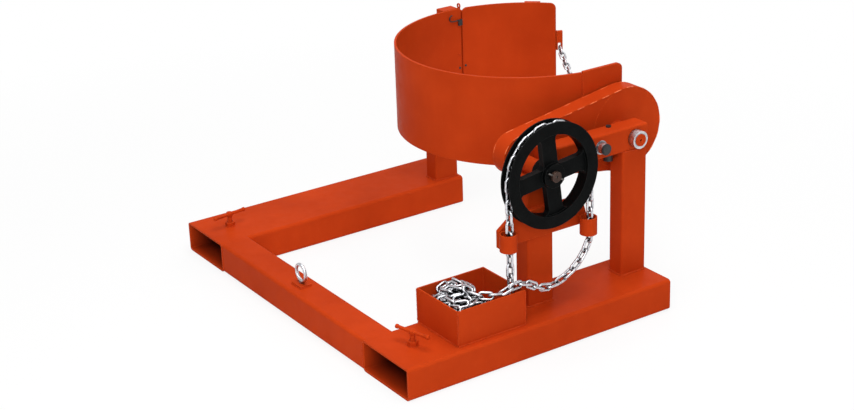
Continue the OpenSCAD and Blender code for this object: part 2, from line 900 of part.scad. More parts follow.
module lock_lug() {
  x0 = collar_r * cos(asin((lock_behind - 15) / collar_r)) + seat;
  color(orange) difference() {
    along_x(x0, case_in - 1.3) translate([lock_y, tilt_z]) square(30, center = true);
    rod_x(x0 - 1, case_in + 1, lock_y, tilt_z, lock_r + 0.5);
  }
}

// Wing hinge

hinge_r = 8;
hinge_pin_r = 4;
hinge_step = 37;
hinge_z = collar_z + 18;
hinge_at = (collar_r + hinge_r + 0.5) * [cos(slit_angle), sin(slit_angle)] + [0, tilt_y];

module knuckle(i) {
  rod_z(hinge_at[0], hinge_at[1], hinge_z + i * hinge_step, hinge_z + (i + 1) * hinge_step - 1,
    hinge_r);
}

module hinge_knuckles() {
  bar_front = tilt_y + 26;
  color(orange) for (i = [0, 2, 4]) difference() {
    union() {
      knuckle(i);
      translate([hinge_at[0] - hinge_r, bar_front, hinge_z + i * hinge_step]) {
        cube([hinge_r + 5, hinge_at[1] - bar_front, hinge_step - 1]);
      }
    }
    rod_z(hinge_at[0], hinge_at[1], collar_z, collar_top, hinge_pin_r + run);
  }
}

module wing_hinge_leaf() {
  leaf_r = collar_r + seat;
  color(orange) for (i = [1, 3]) difference() {
    z0 = hinge_z + i * hinge_step;
    union() {
      knuckle(i);
      arc_plate(slit_angle - 8.2, slit_angle - 0.3, leaf_r, leaf_r + 4, z0, z0 + hinge_step - 1);
    }
    rod_z(hinge_at[0], hinge_at[1], collar_z, collar_top, hinge_pin_r + run);
  }
}

module hinge_pin() {
  top = hinge_z + 5 * hinge_step;
  color(orange) {
    rod_z(hinge_at[0], hinge_at[1], hinge_z - 4, top + 6, hinge_pin_r);
    translate([hinge_at[0], hinge_at[1], top + 11]) rotate([90, 0, 0]) {
      rotate_extrude($fn = 32) translate([5, 0]) circle(2, $fn = 20);
    }
  }
}

module catch_clip() {
  block_z = collar_z + 167;
  clip_x = -collar_r + collar_t + 2.6;
  color(black) {
    translate([clip_x - 0.3, tilt_y + 22, block_z]) cube([3.2, 12, 16]);
    translate([clip_x + 1, tilt_y + 4, block_z + 14]) rotate([-90, 0, 0]) {
      cylinder(h = 19, r = 1.5);
    }
    translate([clip_x + 1, tilt_y + 4, block_z + 22]) rotate([90, 0, 90]) rotate([0, 0, 90]) {
      rotate_extrude(angle = 180, $fn = 32) translate([8, 0]) circle(1.5, $fn = 20);
    }
  }
}

// Wing strap and catch, and the binding chain across the opening

module wing_strap() {
  color(orange) translate([0, tilt_y, 0]) rotate([0, 0, 138]) {
    translate([collar_r + seat, -20, collar_z + 30]) cube([10, 40, collar_h - 30]);
  }
}

lug_ring_r = 8;
lug_play = 0.6;
lug_wire_r = bind_w / 2 - bind_wire - lug_play;
lug_at = [plate_in + 0.5, tilt_y + drive_plate_front + lug_ring_r + 5];
catch_at = (collar_r + 5) * [cos(wing_angle), sin(wing_angle)] + [0, tilt_y]
  + 7 * [sin(wing_angle), -cos(wing_angle)];
bind_dir = catch_at - lug_at;
bind_angle = atan2(bind_dir[1], bind_dir[0]);
bind_ray = bind_dir / norm(bind_dir);
bind_l = norm(bind_dir) - lug_ring_r;

module wing_catch() {
  color(orange) {
    translate([0, tilt_y, 0]) rotate([0, 0, wing_angle]) {
      translate([collar_r + seat, -1, catch_z - 25]) cube([7, 41, 50]);
    }
    translate([catch_at[0], catch_at[1], catch_z]) rotate([0, 0, bind_angle]) difference() {
      translate([-4, -8, -25]) cube([8, 16, 50]);
      translate([-5, -4.5, -26]) cube([10, 9, 20]);
    }
  }
}

module chain_lug() {
  y0 = tilt_y + drive_plate_front + seat;
  color(orange) {
    translate([plate_in, y0, catch_z - 8]) cube([drive_plate_t, lug_at[1] - 7.5 - y0, 16]);
    translate([lug_at[0], lug_at[1], catch_z]) {
      rotate_extrude() translate([lug_ring_r, 0]) circle(lug_wire_r, $fn = 32);
    }
  }
}

// The first link's round end turns about the lug's ring; the last one stands in the catch's slot
bind_pivot = lug_at + lug_ring_r * bind_ray;
bind_path = [
  for (k = [0:120])
    let (u = k / 120, p = bind_pivot + u * bind_l * bind_ray)
    [p[0], p[1], catch_z - bind_drop * u - bind_sag * 4 * u * (1 - u)]
];
bind_arc = [for (k = [1:120]) norm(bind_path[k] - bind_path[k - 1])] * [for (k = [1:120]) 1];
bind_step = (bind_arc - 0.8) / bind_links;

module binding_chain() {
  first = (bind_step + 0.8 + bind_wire - (bind_w - bind_wire)) / 2;
  start = cut_at(bind_path, bind_path[0], next_index(bind_path, bind_path[0], 1, first), first);
  pts = concat([start], walk(bind_path, start, 1, bind_step, bind_links - 1));
  last = len(pts) - 1;
  color(steel) for (i = [0:last]) {
    t = i == 0 ? start - bind_path[0] : pts[min(i + 1, last)] - pts[i - 1];
    rise = atan2(t[2], norm([t[0], t[1]]));
    translate(pts[i]) rotate([0, -rise, bind_angle]) rotate([90 - (i % 2) * 90, 0, 0]) {
      link(bind_wire, bind_w, bind_step + 0.8);
    }
  }
}

// Chain wheel

// The rounded corners of an opening, beside one side of a spoke; each arc runs in just under the edge
module spoke_fillets(opening_r) {
  r = spoke_fillet;
  c = r - 0.1;
  h = spoke_w / 2;
  out = sqrt(pow(opening_r - c, 2) - pow(h + c, 2));
  reach = opening_r / (opening_r - c);
  difference() {
    polygon([
      [out, h - 1],
      [opening_r + 0.5, h - 1],
      [opening_r + 0.5, h + 2],
      [out * reach + 1.2, (h + c) * reach],
      [out * reach - 0.1, (h + c) * reach],
      [out, h + c],
    ]);
    translate([out, h + c]) circle(r);
  }
  translate([h - 1, h - 1]) difference() {
    square(r + 1);
    translate([c + 1, c + 1]) circle(r);
  }
}

module chain_wheel() {
  x0 = wheel_x - wheel_w / 2;
  x1 = wheel_x + wheel_w / 2;
  seat_r = chain_r - link_wire / 2 - 0.4;
  slot_r = chain_r - link_w / 2 - 1;
  opening_r = slot_r - 6;
  color(black) difference() {
    translate([wheel_x, wheel_y, wheel_z]) rotate([0, 90, 0]) difference() {
      union() {
        rotate_extrude($fn = 180) polygon([
          [opening_r, -wheel_w / 2],
          [wheel_r, -wheel_w / 2],
          [wheel_r, -wheel_w / 2 + 2.5],
          [seat_r, -link_w / 2 - 0.8],
          [seat_r, -link_wire / 2 - 0.8],
          [slot_r, -link_wire / 2 - 0.8],
          [slot_r, link_wire / 2 + 0.8],
          [seat_r, link_wire / 2 + 0.8],
          [seat_r, link_w / 2 + 0.8],
          [wheel_r, wheel_w / 2 - 2.5],
          [wheel_r, wheel_w / 2],
          [opening_r, wheel_w / 2],
        ]);
        translate([0, 0, -spoke_t / 2]) linear_extrude(spoke_t) {
          intersection() {
            circle(opening_r + 1);
            union() for (a = [0, 90]) rotate(a + spoke_angle) {
              square([2 * wheel_r, spoke_w], center = true);
            }
          }
          for (a = [0:90:270], side = [0, 1]) rotate(a + spoke_angle) {
            mirror([0, side]) spoke_fillets(opening_r);
          }
        }
      }
      for (i = [0:wheel_links / 2 - 1]) rotate([0, 0, (i + 0.5) * 2 * link_step_angle]) {
        translate([seat_r - 1.6, -13, -link_w / 2 - 2]) cube([12, 26, link_w / 2 - 2]);
        translate([seat_r - 1.6, -13, 4]) cube([12, 26, link_w / 2 - 2]);
      }
    }
    rod_x(x0 - 30, x1 + 30, wheel_y, wheel_z, hub_r - 1);
  }
  color(black) difference() {
    rod_x(wheel_hub_in, hub_face_x, wheel_y, wheel_z, hub_r);
    rod_x(wheel_hub_in - 1, hub_face_x + 1, wheel_y, wheel_z, wheel_shaft_r + skin);
  }
}

module wheel_shaft() {
  end_x = hub_face_x + 7;
  color([0.35, 0.22, 0.17]) difference() {
    rod_x(sprocket_x - 12, end_x, wheel_y, wheel_z, wheel_shaft_r);
    rod_x(end_x - 5, end_x + 1, wheel_y, wheel_z, 3);
    split_pin_rod(2.5 + skin);
  }
}

module split_pin_rod(r) {
  translate([hub_face_x + 3.5, wheel_y, wheel_z]) rotate([-30, 0, 0]) rotate([90, 0, 0]) {
    cylinder(h = 46, r = r, center = true);
  }
}

module wheel_split_pin() {
  color(steel) split_pin_rod(2);
}

module wheel_washer() {
  color(steel) {
    pipe_x(beam_out + 4.3, wheel_hub_in - 0.3, wheel_y, wheel_z, wheel_shaft_r + skin, 19);
  }
}

// Lock bolt and beam knob

lock_tip = case_in - 0.5;
lock_end = beam_out + 16;

module lock_bolt() {
  color(steel) {
    rod_x(lock_tip, beam_in + 2, lock_y, tilt_z, lock_r);
    rod_x(beam_in + lock_travel, lock_end, lock_y, tilt_z, lock_head_r);
    rod_x(beam_in + 1, beam_in + lock_travel + 1, lock_y, tilt_z, lock_r);
  }
}

module lock_bolt_cap() {
  color(black) {
    rod_x(lock_end, lock_end + 3, lock_y, tilt_z, lock_head_r);
    rod_x(lock_end, lock_end + 5, lock_y, tilt_z, lock_head_r - 2);
  }
}

module beam_knob() {
  x = drive_post_x - 10;
  color(black) {
    rod_z(x, knob_y, post_top - 23, post_top - 3, 11);
    rod_z(x, knob_y, post_top - 4, beam_top + 3.5, 6);
  }
}

left_leg();
right_leg();
rear_crossbar();
idler_post();
drive_post_front();
drive_post_rear();
bearing_beam();
chain_box();
guide_arm();
rear_chain_guide();
front_chain_guide();
chain_case_back();
chain_case_cover();
wheel_bearing_tube();
wheel_bushes();
tilt_bearing_tube();
tilt_bushes();
lock_bush();
idler_bearing_tube();
idler_bush();
eye_bolt();
eye_bolt_plate();
left_clamp_nut();
right_clamp_nut();
hand_chain();
hand_chain_heap();
hand_chain_core();
roller_chain();
collar_band();
drive_plate();
tilt_shaft();
tilt_shaft_rivets();
tilt_shaft_collar();
large_sprocket();
trunnion_bar();
idler_shaft();
idler_washer();
idler_split_pin();
lock_lug();
hinge_knuckles();
hinge_pin();
catch_clip();
chain_lug();
wing();
wing_hinge_leaf();
wing_strap();
wing_catch();
binding_chain();
chain_wheel();
wheel_shaft();
wheel_washer();
wheel_split_pin();
small_sprocket();
lock_bolt();
lock_bolt_cap();
left_clamp_screw();
right_clamp_screw();
left_clamp_pad();
right_clamp_pad();
beam_knob();
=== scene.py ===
import json
import math
import random

import bpy
from mathutils import Matrix, Vector
from mathutils.geometry import convex_hull_2d

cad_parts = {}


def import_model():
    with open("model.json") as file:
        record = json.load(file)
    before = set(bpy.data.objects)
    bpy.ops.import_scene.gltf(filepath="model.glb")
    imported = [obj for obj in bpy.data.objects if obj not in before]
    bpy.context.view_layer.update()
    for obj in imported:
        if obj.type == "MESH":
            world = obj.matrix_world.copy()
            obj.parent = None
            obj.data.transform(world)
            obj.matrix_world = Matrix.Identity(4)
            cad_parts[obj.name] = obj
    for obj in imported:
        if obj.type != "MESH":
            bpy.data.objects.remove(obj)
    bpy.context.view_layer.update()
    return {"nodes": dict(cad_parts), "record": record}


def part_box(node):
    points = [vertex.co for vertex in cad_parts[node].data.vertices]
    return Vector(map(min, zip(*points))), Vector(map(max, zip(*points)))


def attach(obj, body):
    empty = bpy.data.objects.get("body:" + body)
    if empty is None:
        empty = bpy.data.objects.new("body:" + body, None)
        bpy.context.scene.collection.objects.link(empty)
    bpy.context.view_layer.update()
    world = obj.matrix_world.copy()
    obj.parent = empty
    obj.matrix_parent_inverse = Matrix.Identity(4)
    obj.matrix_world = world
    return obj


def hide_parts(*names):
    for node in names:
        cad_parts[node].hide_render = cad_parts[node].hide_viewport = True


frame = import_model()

random.seed(11)
MM = 0.001


def mid(node):
    """The centre of a solid's box."""
    low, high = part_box(node)
    return (low + high) / 2


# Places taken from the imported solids
TILT = mid("tilt_shaft_collar")
WHEEL = mid("wheel_bearing_tube")
LEG_LOW, LEG_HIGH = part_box("right_leg")
LEG_TOP = LEG_HIGH.z
BAND_LOW, BAND_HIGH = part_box("collar_band")
BAND_R = -BAND_LOW.x

# Angles about the collar's axis, in degrees, of the hinge's slit and of the wing's free edge
SLIT = 173.6
WING_EDGE = 126.5


# Camera: the photograph's view, found by fitting the base and the collar
AZIMUTH, ELEVATION, ROLL = (math.radians(v) for v in (56.69, 22.49, -2.06))
FOCAL_PX, PHOTO_W = 1730.32, 854
SENSOR = 36
AIM = Vector((-0.36722, 0.59356, 0))
DISTANCE = 4.59534


def make_camera():
    level = math.cos(ELEVATION)
    back = Vector((math.sin(AZIMUTH) * level, -math.cos(AZIMUTH) * level, math.sin(ELEVATION)))
    right = (-back).cross(Vector((0, 0, 1))).normalized()
    up = right.cross(-back)
    right, up = (
        right * math.cos(ROLL) + up * math.sin(ROLL),
        up * math.cos(ROLL) - right * math.sin(ROLL),
    )
    data = bpy.data.cameras.new("photo_camera")
    data.sensor_width = SENSOR
    data.lens = FOCAL_PX * SENSOR / PHOTO_W
    data.clip_start, data.clip_end = 0.1, 60
    cam = bpy.data.objects.new("photo_camera", data)
    bpy.context.collection.objects.link(cam)
    at = AIM + back * DISTANCE
    cam.matrix_world = Matrix.Translation(at) @ Matrix((right, up, back)).transposed().to_4x4()
    bpy.context.scene.camera = cam


make_camera()


# Materials
def fill(node, values):
    """Sets a node's inputs by name, where _ stands for a space."""
    for key, value in values.items():
        node.inputs[key.replace("_", " ")].default_value = value


class Nodes:
    """The node tree of a material or a world, built from nothing."""

    def __init__(self, owner):
        owner.use_nodes = True
        self.tree = owner.node_tree
        self.tree.nodes.clear()

    def node(self, kind, **values):
        n = self.tree.nodes.new(kind)
        fill(n, values)
        return n

    def join(self, a, b):
        self.tree.links.new(a, b)

    def feed(self, value, socket):
        """Joins another node's socket, or sets a plain value or a colour."""
        if isinstance(value, bpy.types.NodeSocket):
            self.join(value, socket)
        elif isinstance(value, tuple):
            socket.default_value = (*value, 1)
        else:
            socket.default_value = value

    def math(self, kind, a, b=0.0):
        """A sum, product or the like, kept between 0 and 1."""
        m = self.node("ShaderNodeMath")
        m.operation = kind
        m.use_clamp = True
        self.feed(a, m.inputs[0])
        self.feed(b, m.inputs[1])
        return m.outputs[0]


class Surface(Nodes):
    """A Principled material and the few nodes that its detail is made of."""

    def __init__(self, name):
        self.material = bpy.data.materials.new(name)
        super().__init__(self.material)
        out = self.node("ShaderNodeOutputMaterial")
        self.shader = self.node("ShaderNodeBsdfPrincipled")
        self.join(self.shader.outputs["BSDF"], out.inputs["Surface"])
        self.place = self.node("ShaderNodeTexCoord").outputs["Object"]

    def set(self, **values):
        fill(self.shader, values)

    def noise(self, scale, detail=3.0, rough=0.55, stretch=None):
        n = self.node("ShaderNodeTexNoise", Scale=scale, Detail=detail, Roughness=rough)
        place = self.place
        if stretch:
            m = self.node("ShaderNodeMapping", Scale=stretch)
            self.join(place, m.inputs["Vector"])
            place = m.outputs["Vector"]
        self.join(place, n.inputs["Vector"])
        return n.outputs["Fac"]

    def ramp(self, source, *stops):
        """Stops are pairs of a position and a grey or a colour."""
        r = self.node("ShaderNodeValToRGB")
        while len(r.color_ramp.elements) < len(stops):
            r.color_ramp.elements.new(0.5)
        for element, (at, colour) in zip(r.color_ramp.elements, stops):
            element.position = at
            element.color = (*colour, 1) if isinstance(colour, tuple) else (colour,) * 3 + (1,)
        self.join(source, r.inputs["Fac"])
        return r.outputs["Color"]

    def mix(self, factor, a, b):
        """Two colours mixed; the mix node's colours are its inputs 6 and 7 and its output 2."""
        m = self.node("ShaderNodeMix")
        m.data_type = "RGBA"
        self.feed(factor, m.inputs[0])
        self.feed(a, m.inputs[6])
        self.feed(b, m.inputs[7])
        return m.outputs[2]

    def edge(self, radius, gain):
        """How near a sharp edge is, from the rounded normal, and that normal."""
        bevel = self.node("ShaderNodeBevel", Radius=radius)
        bevel.samples = 4
        flat = self.node("ShaderNodeNewGeometry")
        dot = self.node("ShaderNodeVectorMath")
        dot.operation = "DOT_PRODUCT"
        self.join(bevel.outputs["Normal"], dot.inputs[0])
        self.join(flat.outputs["Normal"], dot.inputs[1])
        near = self.math("MULTIPLY", self.math("SUBTRACT", 1.0, dot.outputs["Value"]), gain)
        return near, bevel.outputs["Normal"]

    def bump(self, height, distance, normal=None, strength=1.0):
        b = self.node("ShaderNodeBump", Distance=distance, Strength=strength)
        self.join(height, b.inputs["Height"])
        if normal is not None:
            self.join(normal, b.inputs["Normal"])
        return b.outputs["Normal"]

    def finish(self, colour=None, rough=None, normal=None):
        for source, key in ((colour, "Base Color"), (rough, "Roughness"), (normal, "Normal")):
            if source is not None:
                self.join(source, self.shader.inputs[key])
        return self.material


def pocket_shade_mask(s):
    """Painted shade mask: 1 on the inner walls of the legs, fading in from their open ends."""
    place = s.node("ShaderNodeSeparateXYZ")
    s.join(s.place, place.inputs[0])
    x, y, z = place.outputs
    fade = 14.0
    rear = s.math("MULTIPLY", s.math("SUBTRACT", y, LEG_LOW.y), fade)
    front = s.math("MULTIPLY", s.math("SUBTRACT", LEG_HIGH.y, y), fade)
    inside = s.math("MINIMUM", rear, front)
    skin = 4.5 * MM
    for value, low, high in (
        (s.math("ABSOLUTE", x), LEG_LOW.x + skin, LEG_HIGH.x - skin),
        (z, LEG_LOW.z + skin, LEG_TOP - skin),
    ):
        inside = s.math("MULTIPLY", inside, s.math("GREATER_THAN", value, low))
        inside = s.math("MULTIPLY", inside, s.math("LESS_THAN", value, high))
    return inside


def orange_paint(name="orange_enamel", pocket=False, highlight_and_wear_edge=1.6 * MM):
    """Enamel, with painted highlights along its edges and worn chips there; in the legs, painted shade
    inside the fork pockets.
    """
    s = Surface(name)
    body = s.ramp(s.noise(5.5, 4), (0.34, (0.46, 0.041, 0.0060)), (0.66, (0.55, 0.052, 0.0078)))
    runs = s.ramp(s.noise(28, 5, 0.6, (1, 1, 0.25)), (0.40, 0.0), (0.75, 1.0))
    body = s.mix(s.math("MULTIPLY", runs, 0.22), body, (0.43, 0.033, 0.005))
    near, rounded = s.edge(highlight_and_wear_edge, 3.2)
    # Painted highlight: the edges lightened to a brighter orange
    body = s.mix(s.math("MULTIPLY", near, 0.75), body, (0.86, 0.13, 0.028))
    chip_mask = s.ramp(s.noise(210, 6, 0.7), (0.66, 0.0), (0.70, 1.0))
    body = s.mix(s.math("MULTIPLY", s.math("MULTIPLY", near, 2.0), chip_mask), body, (0.16, 0.05, 0.03))
    dust = s.ramp(s.noise(95, 5, 0.65), (0.60, 0.0), (0.80, 1.0))
    body = s.mix(s.math("MULTIPLY", dust, 0.10), body, (0.70, 0.16, 0.06))
    if pocket:
        # Painted shade: near black inside the fork pockets, deeper in from the open ends
        body = s.mix(s.math("MULTIPLY", pocket_shade_mask(s), 0.96), body, (0.010, 0.006, 0.005))
    rough = s.ramp(s.noise(40, 4), (0.35, 0.30), (0.70, 0.46))
    peel = s.bump(s.noise(420, 2, 0.5), 0.00012, rounded, 0.55)
    wave = s.bump(s.noise(24, 2, 0.5), 0.0011, peel, 0.35)
    s.set(IOR=1.06)
    return s.finish(body, rough, wave)


def weld_paint(name, dark, light, ior):
    s = Surface(name)
    body = s.ramp(s.noise(60, 4), (0.35, dark), (0.65, light))
    rough = s.ramp(s.noise(90, 3), (0.3, 0.24), (0.7, 0.40))
    s.set(IOR=ior)
    return s.finish(body, rough, s.bump(s.noise(700, 3), 0.0003, None, 0.5))


def black_cast():
    s = Surface("black_cast_iron")
    body = s.ramp(s.noise(36, 5), (0.35, (0.0008, 0.0011, 0.0012)), (0.70, (0.0024, 0.0030, 0.0030)))
    near, rounded = s.edge(0.0016, 2.6)
    body = s.mix(s.math("MULTIPLY", near, 0.55), body, (0.055, 0.058, 0.056))
    speck = s.ramp(s.noise(520, 4, 0.7), (0.62, 0.0), (0.72, 1.0))
    body = s.mix(s.math("MULTIPLY", speck, 0.35), body, (0.05, 0.05, 0.048))
    rough = s.ramp(s.noise(70, 4), (0.3, 0.38), (0.7, 0.58))
    skin = s.bump(s.noise(330, 5, 0.65), 0.0005, rounded, 0.6)
    s.set(IOR=1.14)
    return s.finish(body, rough, s.bump(s.noise(60, 3), 0.0012, skin, 0.3))


def black_plastic():
    s = Surface("black_knob")
    body = s.ramp(s.noise(120, 4), (0.35, (0.008, 0.008, 0.009)), (0.70, (0.020, 0.020, 0.021)))
    near, rounded = s.edge(0.0009, 2.2)
    body = s.mix(s.math("MULTIPLY", near, 0.4), body, (0.06, 0.06, 0.06))
    rough = s.ramp(s.noise(160, 3), (0.3, 0.34), (0.7, 0.50))
    s.set(Specular_IOR_Level=0.5)
    return s.finish(body, rough, s.bump(s.noise(800, 2), 0.00015, rounded, 0.5))


def zinc():
    s = Surface("zinc_plate")
    body = s.ramp(s.noise(150, 5, 0.6), (0.30, (0.50, 0.51, 0.54)), (0.72, (0.82, 0.83, 0.87)))
    grime = s.ramp(s.noise(55, 5, 0.7), (0.52, 0.0), (0.72, 1.0))
    body = s.mix(s.math("MULTIPLY", grime, 0.42), body, (0.17, 0.165, 0.16))
    # Painted shade: the crevices between links darkened to near black by an occlusion mask
    crevice_occlusion = s.node("ShaderNodeAmbientOcclusion", Distance=12 * MM)
    crevice_occlusion.samples = 6
    painted_crevice_shade = s.ramp(crevice_occlusion.outputs["AO"], (0.35, 1.0), (0.90, 0.0))
    body = s.mix(painted_crevice_shade, body, (0.022, 0.022, 0.024))
    rough = s.ramp(s.noise(240, 4), (0.3, 0.20), (0.7, 0.42))
    s.set(Metallic=1.0)
    return s.finish(body, rough, s.bump(s.noise(900, 3), 0.0002, None, 0.4))


def turned_steel():
    s = Surface("turned_steel")
    body = s.ramp(s.noise(70, 4), (0.35, (0.40, 0.40, 0.41)), (0.70, (0.62, 0.62, 0.64)))
    turning = s.noise(900, 2, 0.5, (1, 0.06, 0.06))
    near, rounded = s.edge(0.0007, 2.0)
    body = s.mix(s.math("MULTIPLY", near, 0.5), body, (0.82, 0.82, 0.84))
    rough = s.ramp(turning, (0.3, 0.22), (0.7, 0.38))
    s.set(Metallic=1.0)
    return s.finish(body, rough, s.bump(turning, 0.00008, rounded, 0.6))


def oiled_steel():
    s = Surface("oiled_steel")
    body = s.ramp(s.noise(110, 5), (0.35, (0.085, 0.080, 0.074)), (0.70, (0.25, 0.24, 0.23)))
    near, rounded = s.edge(0.0007, 2.4)
    body = s.mix(s.math("MULTIPLY", near, 0.6), body, (0.46, 0.45, 0.44))
    rough = s.ramp(s.noise(200, 4), (0.3, 0.24), (0.7, 0.48))
    s.set(Metallic=0.9)
    return s.finish(body, rough, s.bump(s.noise(600, 3), 0.0002, rounded, 0.5))


def bronze():
    s = Surface("bronze_bush")
    body = s.ramp(s.noise(90, 4), (0.35, (0.36, 0.20, 0.07)), (0.70, (0.52, 0.32, 0.12)))
    turning = s.noise(800, 2, 0.5, (1, 0.08, 0.08))
    rough = s.ramp(turning, (0.3, 0.26), (0.7, 0.42))
    s.set(Metallic=1.0)
    return s.finish(body, rough, s.bump(turning, 0.0001, None, 0.5))


def brown_shaft():
    s = Surface("browned_shaft")
    body = s.ramp(s.noise(130, 5, 0.65), (0.32, (0.030, 0.014, 0.010)), (0.70, (0.085, 0.045, 0.032)))
    near, rounded = s.edge(0.0008, 2.4)
    body = s.mix(s.math("MULTIPLY", near, 0.6), body, (0.34, 0.24, 0.18))
    rough = s.ramp(s.noise(260, 4), (0.3, 0.34), (0.7, 0.60))
    s.set(Metallic=0.55)
    return s.finish(body, rough, s.bump(s.noise(500, 4), 0.0002, rounded, 0.6))


ORANGE = orange_paint()
LEGS = orange_paint("orange_enamel_legs", pocket=True)
FLUSH = orange_paint("orange_enamel_flush", highlight_and_wear_edge=0.01 * MM)
WELD = weld_paint("painted_weld", (0.44, 0.039, 0.0060), (0.53, 0.052, 0.009), 1.12)
# Painted highlight: the case's stitches get a lighter orange than the other welds
STITCH = weld_paint("painted_highlight_weld", (0.56, 0.060, 0.010), (0.92, 0.20, 0.055), 1.38)
CAST = black_cast()
PLASTIC = black_plastic()
ZINC = zinc()
STEEL = turned_steel()
OILED = oiled_steel()
BRONZE = bronze()
BROWN = brown_shaft()

FINISH = {
    "orange_paint": ORANGE,
    "black_paint": PLASTIC,
    "zinc_plated": ZINC,
    "bare_steel": STEEL,
    "dark_steel": OILED,
    "bronze": BRONZE,
    "brown_shaft": BROWN,
}
SPECIAL = {"chain_wheel": CAST, "left_leg": LEGS, "right_leg": LEGS, "wheel_split_pin": OILED}


def dress_solids():
    """Gives each solid the finish of its material slot, or its own."""
    for part in frame["record"]["subparts"]:
        thing = frame["nodes"][part["node"]]
        finish = SPECIAL.get(part["node"], FINISH[part["material_slot"]])
        if not thing.material_slots:
            thing.data.materials.append(finish)
        for held in thing.material_slots:
            held.material = finish


dress_solids()


# Mesh helpers
class Shape:
    """Gathers points and faces for one piece."""

    def __init__(self):
        self.points = []
        self.faces = []

    def add(self, points, faces, matrix=None):
        start = len(self.points)
        self.points += [matrix @ p if matrix else p for p in points]
        self.faces += [tuple(start + i for i in f) for f in faces]

    def piece(self, name, body, material, smooth=True):
        mesh = bpy.data.meshes.new(name)
        mesh.from_pydata([tuple(p) for p in self.points], [], self.faces)
        mesh.validate()
        mesh.update()
        for polygon in mesh.polygons:
            polygon.use_smooth = smooth
        thing = bpy.data.objects.new(name, mesh)
        bpy.context.collection.objects.link(thing)
        mesh.materials.append(material)
        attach(thing, body)
        return thing


def across(direction):
    """Two unit vectors square to direction."""
    d = direction.normalized()
    side = d.cross(Vector((0, 0, 1)) if abs(d.z) < 0.9 else Vector((1, 0, 0))).normalized()
    return side, d.cross(side)


def wrap(rings, sides, closed=False):
    """The faces of a tube made of rings, with its ends capped unless it is closed."""
    faces = []
    for i in range(rings if closed else rings - 1):
        j = (i + 1) % rings
        for k in range(sides):
            m = (k + 1) % sides
            faces.append((i * sides + k, i * sides + m, j * sides + m, j * sides + k))
    if not closed:
        faces.append(tuple(range(sides - 1, -1, -1)))
        faces.append(tuple((rings - 1) * sides + k for k in range(sides)))
    return faces


def sweep(shape, path, radius, sides=8, closed=False):
    """A tube along path; radius is a number or one number per point."""
    count = len(path)
    radii = radius if isinstance(radius, list) else [radius] * count
    side = across(path[1] - path[0])[0]
    points = []
    for i, p in enumerate(path):
        ahead = path[(i + 1) % count] if closed or i < count - 1 else p
        behind = path[i - 1] if closed or i > 0 else p
        along = (ahead - behind).normalized()
        side = (side - along * side.dot(along)).normalized()
        other = along.cross(side)
        for k in range(sides):
            a = 2 * math.pi * k / sides
            points.append(p + (side * math.cos(a) + other * math.sin(a)) * radii[i])
    shape.add(points, wrap(count, sides, closed))


def resample(path, step, closed=False):
    """Points at even distances of about step along path."""
    points = path + [path[0]] if closed else path
    lengths = [0.0]
    for a, b in zip(points, points[1:]):
        lengths.append(lengths[-1] + (b - a).length)
    count = max(int(lengths[-1] / step), 2)
    out, k = [], 0
    for i in range(count if closed else count + 1):
        s = lengths[-1] * i / count
        while k < len(points) - 2 and lengths[k + 1] < s:
            k += 1
        t = (s - lengths[k]) / max(lengths[k + 1] - lengths[k], 1e-9)
        out.append(points[k].lerp(points[k + 1], min(t, 1)))
    return out


def bead(shape, path, r=2.4 * MM, closed=False, ripple=3.1 * MM):
    """A weld bead: overlapping scallops along the seam."""
    step = ripple / 4
    line = resample(path, step, closed)
    radii = []
    size = 1.0
    for i, p in enumerate(line):
        if i % 4 == 0:
            size = random.uniform(0.88, 1.12)
        phase = abs(math.sin(math.pi * (i * step / ripple)))
        radii.append(r * size * (0.74 + 0.26 * phase))
        shift = Vector([random.uniform(-1, 1) for _ in range(3)]) * r * 0.05
        line[i] = p + shift
    if not closed:
        radii[0] *= 0.5
        radii[-1] *= 0.5
    sweep(shape, line, radii, 8, closed)


def rectangle(x0, x1, y0, y1, z, r=5 * MM, turns=4):
    """A level rectangle with rounded corners."""
    out = []
    corners = (
        (x1 - r, y1 - r, 0),
        (x0 + r, y1 - r, 90),
        (x0 + r, y0 + r, 180),
        (x1 - r, y0 + r, 270),
    )
    for cx, cy, start in corners:
        for k in range(turns + 1):
            a = math.radians(start + 90 * k / turns)
            out.append(Vector((cx + r * math.cos(a), cy + r * math.sin(a), z)))
    return out


def ring(centre, axis, r, count=48):
    """Points on a circle square to axis."""
    u, v = across(axis)
    turns = [2 * math.pi * k / count for k in range(count)]
    return [centre + (u * math.cos(a) + v * math.sin(a)) * r for a in turns]


def lathe(shape, profile, matrix, sides=32):
    """Turns (height, radius) pairs about the matrix's Z axis."""
    points = []
    for z, r in profile:
        for k in range(sides):
            a = 2 * math.pi * k / sides
            points.append(Vector((r * math.cos(a), r * math.sin(a), z)))
    shape.add(points, wrap(len(profile), sides), matrix)


def turn_to(axis, at):
    """Puts a shape made about Z at a place, along an axis."""
    u, v = across(axis)
    return Matrix.Translation(at) @ Matrix((u, v, axis.normalized())).transposed().to_4x4()


# Weld beads
def polar(angle, r, z):
    """A point about the collar's axis; the angle is in degrees."""
    a = math.radians(angle)
    return Vector((r * math.cos(a), TILT.y + r * math.sin(a), z))


